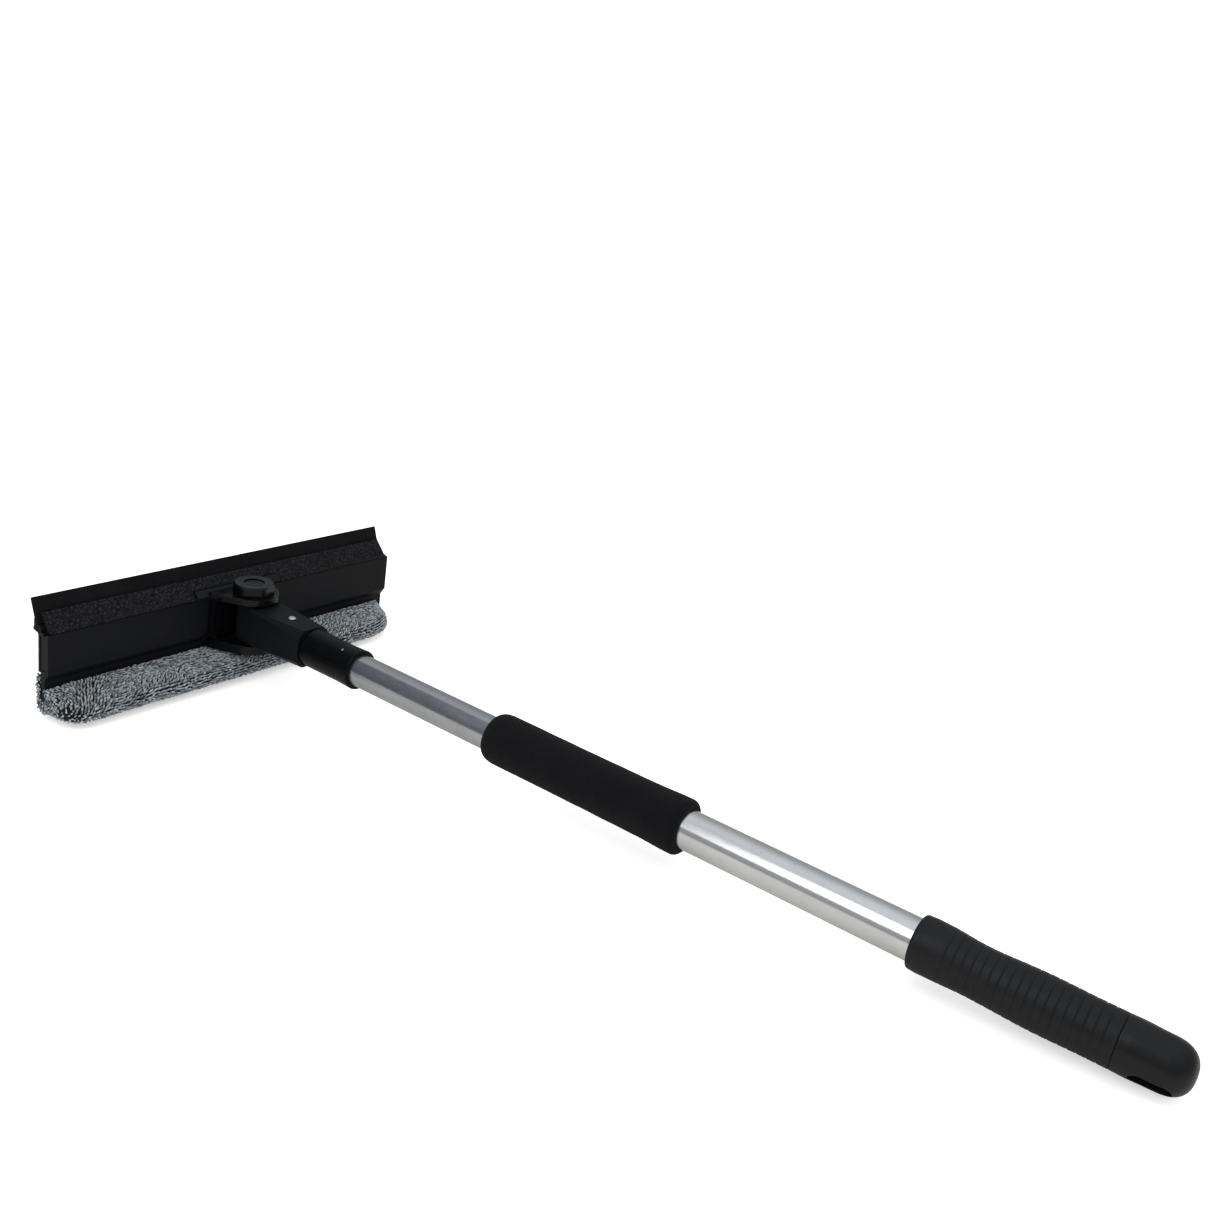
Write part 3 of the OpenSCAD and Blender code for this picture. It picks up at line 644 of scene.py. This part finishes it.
def pad_stations():
    """Places along X, close together where the ends are round."""
    left, left_reach = LEFT_END[0] + LEFT_END[1], LEFT_END[1]
    right, right_reach = RIGHT_END[0] - RIGHT_END[1], RIGHT_END[1]
    flat = [left + (right - left) * k / FLAT_STATIONS for k in range(FLAT_STATIONS + 1)]
    left_round = [left - left_reach * share for share in quarter_sines(LEFT_STATIONS)]
    right_round = [right + right_reach * share for share in quarter_sines(RIGHT_STATIONS)]
    return left_round[::-1] + flat + right_round


def lean_at(x, s):
    """Angle of the loops' lean across the surface: they lie in slow swirls, as brushed pile does."""
    swirl = noise.noise(Vector((x / SWIRL[0], s / SWIRL[1], SWIRL[2])))
    eddy = noise.noise(Vector((x / EDDY[0], s / EDDY[1], EDDY[2])))
    return LEAN + SWIRL_TURN * swirl + EDDY_TURN * eddy


def side_roots(section, rng):
    """Roots of the loops round the pad's length: (place, normal, lean, region, size)."""
    count = len(section)
    step = math.dist(section[0], section[1])

    def surface(x, s):
        """The place at x along the pad and at s along its section's outline."""
        i = int(s / step) % count
        u = s / step - int(s / step)
        (y0, z0), (y1, z1) = section[i], section[(i + 1) % count]
        return pad_point(x, y0 + (y1 - y0) * u, z0 + (z1 - z0) * u)

    roots = []
    left, right = LEFT_END[0], RIGHT_END[0]
    edge = PROBE * 1.1
    total = count * step
    rows = round(total / ROW_STEP)
    slot = step * next(i for i, point in enumerate(section) if is_hidden(*point))
    for row in range(rows):
        for k in range(int((right - left) / LOOP_STEP)):
            s = (row + rng.uniform(-ROW_STRAY, ROW_STRAY)) * total / rows % total
            x = left + (k + 0.5 * (row % 2) + rng.uniform(-STRAY, STRAY)) * LOOP_STEP
            x = max(left + edge, min(right - edge, x))
            place = surface(x, s)
            if is_hidden(place.y, place.z):
                continue
            along = (surface(x + PROBE, s) - surface(x - PROBE, s)).normalized()
            across = (surface(x, s + PROBE) - surface(x, max(0, s - PROBE))).normalized()
            normal = across.cross(along).normalized()
            turn = lean_at(x, (s - slot) % total)
            turn += BRUSHED_TURN * smooth_step(-x, BRUSHED_FROM, BRUSHED_TO)
            lean = along * math.cos(turn) - across * math.sin(turn)
            size = 1 - SHORTER * smooth_step(abs(x), SHORTER_FROM, SHORTER_TO)
            roots.append((place, normal, lean, region_of(place, normal), size))
    return roots


def region_of(place, normal):
    """Name of the part of the pad that a root stands on. Each is one piece."""
    side = "left" if place.x < 0 else "right"
    if place.y > LIP_BACK:
        return "back_" + side
    faces_down = normal.z < -0.55
    if faces_down:
        return "under_" + side
    return "front_" + side


def inside(point, loop):
    """Whether a (y, z) point lies inside a closed outline."""
    y, z = point
    odd = False
    for (y0, z0), (y1, z1) in zip(loop, loop[1:] + loop[:1]):
        if (z0 > z) != (z1 > z) and y < (y1 - y0) * (z - z0) / (z1 - z0) + y0:
            odd = not odd
    return odd


def end_roots(section, rng):
    """Roots of the loops on the pad's two end faces."""
    roots = []
    for end in (LEFT_END[0], RIGHT_END[0]):
        edge = [tuple(pad_point(end, y, z))[1:] for y, z in section]
        low_y, low_z = [min(p[i] for p in edge) for i in (0, 1)]
        high_y, high_z = [max(p[i] for p in edge) for i in (0, 1)]
        normal = Vector((math.copysign(1, end), 0, 0))
        for row in range(int((high_z - low_z) / END_STEP) + 1):
            for k in range(int((high_y - low_y) / END_STEP) + 1):
                y = low_y + (k + rng.uniform(-END_STRAY, END_STRAY) + 0.5 * (row % 2)) * END_STEP
                z = low_z + (row + rng.uniform(-END_STRAY, END_STRAY)) * END_STEP
                if not inside((y, z), edge):
                    continue
                turn = lean_at(y * 2, z * 2)
                lean = Vector((0, -0.5 - 0.5 * math.sin(turn), -1))
                place = Vector((end, y, z))
                roots.append((place, normal, lean, region_of(place, normal), END_SIZE))
    return roots


def rng_array(rng, count, low, high):
    """Random numbers between two values, one for each loop."""
    return np.array([rng.uniform(low, high) for _ in range(count)])


def unit(vectors):
    """The rows of an array, each at length one."""
    return vectors / np.linalg.norm(vectors, axis=1)[:, None]


def store(mesh, name, values):
    """Keeps a number per point, for the material."""
    mesh.attributes.new(name, "FLOAT", "POINT").data.foreach_set("value", values.astype(np.float32))


def loop_faces():
    """Faces of one loop: its sides, its pointed tip and its flat root. The tip is the last point."""
    faces = []
    for k in range(LOOP_RINGS - 1):
        for i in range(LOOP_SIDES):
            j = (i + 1) % LOOP_SIDES
            a, b = k * LOOP_SIDES, (k + 1) * LOOP_SIDES
            faces.append((a + i, b + i, b + j, a + j))
    last = (LOOP_RINGS - 1) * LOOP_SIDES
    tip = LOOP_RINGS * LOOP_SIDES
    faces += [(last + i, tip, last + (i + 1) % LOOP_SIDES) for i in range(LOOP_SIDES)]
    faces.append(tuple(range(LOOP_SIDES)))
    return faces


def loop_mesh(roots, rng):
    """One closed, twisted, bent worm for each root, with its height and its shade as attributes."""
    count = len(roots)
    base = np.array([r[0] for r in roots])
    normal = np.array([r[1] for r in roots])
    lean = np.array([r[2] for r in roots])
    lean = unit(lean - normal * np.sum(lean * normal, axis=1)[:, None])
    side = np.cross(normal, lean)
    size = np.array([r[4] for r in roots])
    rise = rng_array(rng, count, *LOOP_RISE) * MM * size
    reach = rng_array(rng, count, *LOOP_REACH) * MM * size
    curl = rng_array(rng, count, *LOOP_CURL) * MM
    thick = rng_array(rng, count, *LOOP_THICK) * MM
    phase = rng_array(rng, count, 0, 2 * math.pi)
    rings, heights = [], []
    for k in range(LOOP_RINGS):
        t = k / (LOOP_RINGS - 1)
        climb = normal * (rise * math.sin(t * LOOP_ARC) - LOOP_ROOT)[:, None]
        run = lean * (reach * t ** LOOP_BEND)[:, None]
        centre = base + climb + run + side * (curl * t * t)[:, None]
        slope_up = rise * LOOP_ARC * math.cos(t * LOOP_ARC)
        slope_out = reach * LOOP_BEND * max(t, 0.02) ** (LOOP_BEND - 1)
        tangent = unit(normal * slope_up[:, None] + lean * slope_out[:, None])
        cross = np.cross(tangent, side)
        taper = LOOP_ENDS + LOOP_BULGE * math.sin(math.pi * t)
        if k == LOOP_RINGS - 1:
            taper *= LAST_RING
        for i in range(LOOP_SIDES):
            turn = 2 * math.pi * i / LOOP_SIDES
            ply = 1 + PLY * np.sin(2 * turn + PLY_TURN * t + phase)
            r = (thick * taper * ply)[:, None]
            rings.append(centre + side * math.cos(turn) * r + cross * math.sin(turn) * r)
            heights.append(t)
    rings.append(centre + tangent * (thick * TIP_POINT)[:, None])
    heights.append(1.0)
    per_loop = len(rings)
    points = np.stack(rings, axis=1).reshape(-1, 3)
    pattern = loop_faces()
    faces = [tuple(n * per_loop + v for v in face) for n in range(count) for face in pattern]
    mesh = mesh_from(points, faces)
    store(mesh, "tip", np.tile(heights, count))
    store(mesh, "shade", np.repeat(rng_array(rng, count, 0, 1), per_loop))
    return mesh


def build_scrubber():
    """The pad's knitted ground, then its loops, one piece for each region."""
    section = ground_section()
    loops = [[pad_point(x, y, z) for y, z in section] for x in pad_stations()]
    add_piece("scrubber_ground", skin_loops(loops), "head", ground_shade_skin,
              ["scrubber_sleeve"])
    rng = random.Random(SEED)
    roots = side_roots(section, rng) + end_roots(section, rng)
    for region in sorted({r[3] for r in roots}):
        mesh = loop_mesh([r for r in roots if r[3] == region], rng)
        add_piece("scrubber_pile_" + region, mesh, "head", pile_skin)


# ---- Foam sleeve, ribbed grip and handle's end ----

BORE_GAP = 0.03 * MM                # between a grip and what it sits on
END_STATIONS = 12                   # extra stations on each rounded end
END_EDGE = 3 * MM                   # length that they take

FOAM_SIDES = 160
FOAM_STEP = 0.5 * MM
FOAM_SKIN = 2 * MM                  # the foam's outside lies at least this far off the tube
FOAM_CLEAN = (4 * MM, 8 * MM)       # the CAD's own rounded ends, which the profile leaves out
FOAM_REAR = (3.0 * MM, 2.9 * MM)    # length and depth of its two rounded ends
FOAM_FRONT = (6.5 * MM, 2.2 * MM)
# The foam's unevenness, in millimetres: the radius that the noise is read at, then its steps per
# millimetre and its depth, for the pores and for the slow swell.
PORE_ROUND = 13
PORE_SCALE = 0.9
PORE_DEPTH = 0.045
PORE_NOISE = (0.8, 2.2, 2)
SWELL_SCALE = 0.11
SWELL_DEPTH = 0.10

GRIP_SIDES = 96
GRIP_STEP = 0.14 * MM
GRIP_SKIN = 0.4 * MM                # the grip's outside lies at least this far off the tube
GRIP_CLEAN = 2 * MM                 # the CAD's own rounded front, which the profile leaves out
GRIP_REAR = (0.4 * MM, 0.35 * MM)   # length and depth of its two rounded ends
GRIP_FRONT = (1.4 * MM, 1.1 * MM)
CAD_GROOVE = 0.3 * MM               # the CAD's grooves are deeper than this
GROOVE_DEPTH = 0.26 * MM
GROOVE_FLOOR = 0.1 * MM             # half widths of a groove, at its floor and at its mouth
GROOVE_MOUTH = 0.42 * MM
BELLY = 0.7 * MM
BELLY_FROM = 8 * MM                 # the belly grows between these distances from the grip's front
BELLY_TO = 36 * MM


def end_round(y, low, high, low_round, high_round):
    """How much an outline draws in near its two rounded ends, each (length, depth)."""
    cut = 0
    for distance, (length, depth) in ((y - low, low_round), (high - y, high_round)):
        if distance < length:
            cut = max(cut, depth * (1 - math.sqrt(max(0, 1 - (1 - distance / length) ** 2))))
    return cut


def fine_ends(low, high, step):
    """Stations along a grip, closer together on its rounded ends."""
    close = [END_EDGE * (1 - math.cos(math.pi / 2 * k / END_STATIONS)) for k in range(END_STATIONS)]
    return ([low + c for c in close] + span(low + END_EDGE, high - END_EDGE, step)
            + [high - c for c in reversed(close)])


def pores(y, turn):
    """Change of the foam's radius: small pores over a slow unevenness."""
    place = Vector((math.sin(turn) * PORE_ROUND, y / MM, math.cos(turn) * PORE_ROUND))
    pore = noise.fractal(place * PORE_SCALE, *PORE_NOISE)
    swell = noise.noise(place * SWELL_SCALE)
    return (pore * PORE_DEPTH + swell * SWELL_DEPTH) * MM


def build_foam():
    """The foam sleeve. Its inside steps out in front, round the pole's mouth cap."""
    low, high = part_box("foam_grip")
    cap_low, cap_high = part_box("mouth_cap")
    profile = turned_profile("foam_grip", TUBE_R + FOAM_SKIN)
    clean = [p for p in profile if low.y + FOAM_CLEAN[0] < p[0] < high.y - FOAM_CLEAN[1]]
    stations = [(y, radius_on(clean, y) - end_round(y, low.y, high.y, FOAM_REAR, FOAM_FRONT))
                for y in fine_ends(low.y, high.y, FOAM_STEP)]
    bore = TUBE_R + BORE_GAP
    cap_bore = cap_high.x + BORE_GAP
    inside_line = [(high.y, cap_bore), (cap_low.y, cap_bore), (cap_low.y, bore), (low.y, bore)]
    outer = turned_loops(stations, FOAM_SIDES, wobble=pores)
    inner = turned_loops(inside_line, FOAM_SIDES)
    add_piece("foam_grip_sleeve", skin_loops(outer + inner, wrap=True), "handle",
              foam_black, ["foam_grip"])


def belly(y):
    """Shift along Z: the handle hangs a little below the pole's axis along its rear, as a palm swell."""
    return -BELLY * smooth_step(grip_high.y - y, BELLY_FROM, BELLY_TO)


def groove_centres(profile):
    """Middles of the CAD grip's grooves. Each groove has two rings of points on its floor."""
    floors = set()
    for v in nodes["handle_grip"].data.vertices:
        radius = math.hypot(v.co.x, v.co.z - POLE_Z)
        if TUBE_R + GRIP_SKIN < radius < radius_on(profile, v.co.y) - CAD_GROOVE:
            floors.add(round(v.co.y, 5))
    walls = sorted(floors)
    return [(a + b) / 2 for a, b in zip(walls[::2], walls[1::2])]


def build_grip():
    """The ribbed rubber grip, with round-edged grooves where the CAD has square ones."""
    low, high = grip_low.y, grip_high.y
    profile = turned_profile("handle_grip", TUBE_R + GRIP_SKIN)
    centres = groove_centres(profile)
    clean = [p for p in profile if p[0] < high - GRIP_CLEAN]
    stations = []
    for y in fine_ends(low, high, GRIP_STEP):
        groove = max(1 - smooth_step(abs(y - c), GROOVE_FLOOR, GROOVE_MOUTH) for c in centres)
        r = radius_on(clean, y) - GROOVE_DEPTH * groove
        stations.append((y, r - end_round(y, low, high, GRIP_REAR, GRIP_FRONT)))
    bore = TUBE_R + BORE_GAP
    outer = turned_loops(stations, GRIP_SIDES, belly)
    inner = turned_loops([(high, bore), (low, bore)], GRIP_SIDES)
    add_piece("handle_grip_ribbed", skin_loops(outer + inner, wrap=True), "handle",
              handle_skin, ["handle_grip"])


VOXEL = 0.3 * MM
RELAX_ROUNDS = 5
END_GAP = 0.05 * MM                 # between the grip's rear end and the visible part of the handle's end


def build_handle_end():
    """The handle's end: the CAD shape behind the grip, remeshed and relaxed to round its edges."""
    bm = welded(nodes["handle_end"].data)
    geometry = bm.verts[:] + bm.edges[:] + bm.faces[:]
    cut = bmesh.ops.bisect_plane(bm, geom=geometry, plane_co=(0, grip_low.y - END_GAP, 0),
                                 plane_no=(0, 1, 0), clear_outer=True)
    rim = [g for g in cut["geom_cut"] if isinstance(g, bmesh.types.BMEdge)]
    bmesh.ops.triangle_fill(bm, edges=rim)
    mesh = bpy.data.meshes.new("work")
    bm.to_mesh(mesh)
    bm.free()
    work = bpy.data.objects.new("work", mesh)
    bpy.context.scene.collection.objects.link(work)
    remesh = work.modifiers.new("remesh", "REMESH")
    remesh.mode = "VOXEL"
    remesh.voxel_size = VOXEL
    relax = work.modifiers.new("relax", "SMOOTH")
    relax.iterations = RELAX_ROUNDS
    relax.factor = 0.5
    shape = work.evaluated_get(bpy.context.evaluated_depsgraph_get())
    made = bpy.data.meshes.new_from_object(shape)
    bpy.data.objects.remove(work)
    made.polygons.foreach_set("use_smooth", [True] * len(made.polygons))
    for v in made.vertices:
        v.co.z += belly(v.co.y)
    add_piece("handle_end_cap", made, "handle", handle_cap_skin, ["handle_end"])


# ---- Rounded edges of the CAD nodes ----

# Width of the rounding on each node, in millimetres.
EDGES = {"head_body": 0.25, "swivel_bracket": 0.35, "clamp_knob": 0.18, "yoke": 0.45,
         "ferrule": 0.3, "snap_button": 0.25, "knob_cap": 0.15, "squeegee_blade": 0.12}
SHARP = math.radians(40)            # edges that turn less than this stay as they are


def round_edges():
    """Gives the hard CAD nodes small rounded edges with modifiers."""
    for name, width in EDGES.items():
        bevel = nodes[name].modifiers.new("rounded_edges", "BEVEL")
        bevel.width = width * MM
        bevel.segments = 2
        bevel.limit_method = "ANGLE"
        bevel.angle_limit = SHARP
        bevel.harden_normals = True


# ---- Camera, floor, light and room ----

# The camera: its place, the direction it looks in, the direction that is up in the picture, and its lens.
EYE = Vector((-0.4845, -0.57015, 0.3386))
VIEW = Vector((0.7881, 0.5106, -0.3438))
VIEW_UP = Vector((0.1999, 0.3160, 0.9275))
LENS = 38.12
SENSOR = 36
NEAREST = 0.01

FLOOR_SLOPE = 0.041                 # the floor falls by this toward the head, to meet pad and handle
FLOOR_DROP = 0.9 * MM
FLOOR_HALF = 60.0

BOX_PLACE = (-0.84, -0.10, 0.93)
BOX_AIM = (0, -0.33, 0.03)
BOX_SIZE = (0.36, 0.85)
BOX_POWER = 1.9

ROOM_POWER = 1.05
# What reflections see of the room, from the horizon and below (0) to straight up (1): (height, shade).
ROOM_SHADES = ((0.0, 0.28), (0.47, 0.33), (0.7, 0.43), (1.0, 0.68))
ROOM_TINT = (0.97, 1, 1.04)
# The room's dark quarter, behind the head on its left, and where it fades in along X and along Y.
DARK = (0.085, 0.095, 0.12, 1)
DARK_FADES = (("X", 0.12, -0.12), ("Y", 0.42, 0.58))


def build_camera():
    """A camera above and to the left of the handle, looking along it at the head."""
    data = bpy.data.cameras.new("camera")
    data.lens = LENS
    data.sensor_width = SENSOR
    data.clip_start = NEAREST
    camera = bpy.data.objects.new("camera", data)
    bpy.context.scene.collection.objects.link(camera)
    right = VIEW.cross(VIEW_UP).normalized()
    up = right.cross(VIEW).normalized()
    turn = Matrix((right, up, -VIEW.normalized())).transposed()
    camera.matrix_world = Matrix.Translation(EYE) @ turn.to_4x4()
    bpy.context.scene.camera = camera


def stage_material():
    """Plain pale floor. Reflections in the object see it as a warmer grey, as in a soft studio."""
    s = Shader("pale_floor")
    ray = s.node("ShaderNodeLightPath")
    shade = s.mix(ray.outputs["Is Glossy Ray"], (0.95, 0.95, 0.95), (0.58, 0.575, 0.55))
    glow = s.mix(ray.outputs["Is Camera Ray"], (0, 0, 0), (0.45, 0.45, 0.45))
    return s.finish(Base_Color=shade, Roughness=1.0, Specular_IOR_Level=0.0, Emission_Color=glow,
                    Emission_Strength=1.0)


def build_floor():
    """A large, slightly tilted plane under the pad and the handle's end."""
    points = []
    for y in (-FLOOR_HALF, FLOOR_HALF):
        for x in (-FLOOR_HALF, FLOOR_HALF):
            points.append((x, y, -FLOOR_SLOPE * (y - sleeve_low.y) - FLOOR_DROP))
    mesh = mesh_from(points, [(0, 1, 3, 2)], smooth=False)
    floor = bpy.data.objects.new("floor", mesh)
    bpy.context.scene.collection.objects.link(floor)
    mesh.materials.append(stage_material())


def build_light():
    """One long soft box, for the highlight along the handle; the white room does the rest."""
    data = bpy.data.lights.new("long_box", "AREA")
    data.shape = "RECTANGLE"
    data.size, data.size_y = BOX_SIZE
    data.energy = BOX_POWER
    light = bpy.data.objects.new("long_box", data)
    bpy.context.scene.collection.objects.link(light)
    light.location = BOX_PLACE
    light.rotation_euler = (Vector(BOX_AIM) - Vector(BOX_PLACE)).to_track_quat("-Z", "Y").to_euler()


def reflected_room(tree, height):
    """The shade that reflections see at a height in the room."""
    ramp = tree.nodes.new("ShaderNodeValToRGB")
    stops = ramp.color_ramp.elements
    for at, _ in ROOM_SHADES[1:-1]:
        stops.new(at)
    for stop, (_, shade) in zip(stops, ROOM_SHADES):
        stop.color = (*[shade * tint for tint in ROOM_TINT], 1)
    tree.links.new(height, ramp.inputs["Fac"])
    return ramp.outputs["Color"]


def dark_quarter(tree, axes):
    """One in the room's dark quarter and zero elsewhere."""
    both = tree.nodes.new("ShaderNodeMath")
    both.operation = "MULTIPLY"
    for slot, (axis, start, stop) in enumerate(DARK_FADES):
        fade = tree.nodes.new("ShaderNodeMapRange")
        fade.interpolation_type = "SMOOTHSTEP"
        fade.inputs["From Min"].default_value = start
        fade.inputs["From Max"].default_value = stop
        tree.links.new(axes[axis], fade.inputs["Value"])
        tree.links.new(fade.outputs["Result"], both.inputs[slot])
    return both.outputs["Value"]


def build_room():
    """White all round for the camera and for soft light; dimmer, and darker low down, in reflections."""
    world = bpy.data.worlds.new("studio")
    bpy.context.scene.world = world
    world.use_nodes = True
    world.cycles.sampling_method = "NONE"
    tree = world.node_tree
    back = tree.nodes["Background"]
    ray = tree.nodes.new("ShaderNodeLightPath")
    coords = tree.nodes.new("ShaderNodeTexCoord")
    split = tree.nodes.new("ShaderNodeSeparateXYZ")
    tree.links.new(coords.outputs["Generated"], split.inputs["Vector"])
    dim = tree.nodes.new("ShaderNodeMix")
    dim.data_type = "RGBA"
    dim.inputs["B"].default_value = DARK
    tree.links.new(dark_quarter(tree, split.outputs), dim.inputs["Factor"])
    tree.links.new(reflected_room(tree, split.outputs["Z"]), dim.inputs["A"])
    choose = tree.nodes.new("ShaderNodeMix")
    choose.data_type = "RGBA"
    choose.inputs["A"].default_value = (1, 1, 1, 1)
    tree.links.new(dim.outputs["Result"], choose.inputs["B"])
    tree.links.new(ray.outputs["Is Glossy Ray"], choose.inputs["Factor"])
    tree.links.new(choose.outputs["Result"], back.inputs["Color"])
    back.inputs["Strength"].default_value = ROOM_POWER
    settings = bpy.context.scene.view_settings
    settings.view_transform = "Standard"
    settings.look = "None"


build_strip()
build_scrubber()
build_foam()
build_grip()
build_handle_end()
round_edges()
build_floor()
build_light()
build_room()
build_camera()
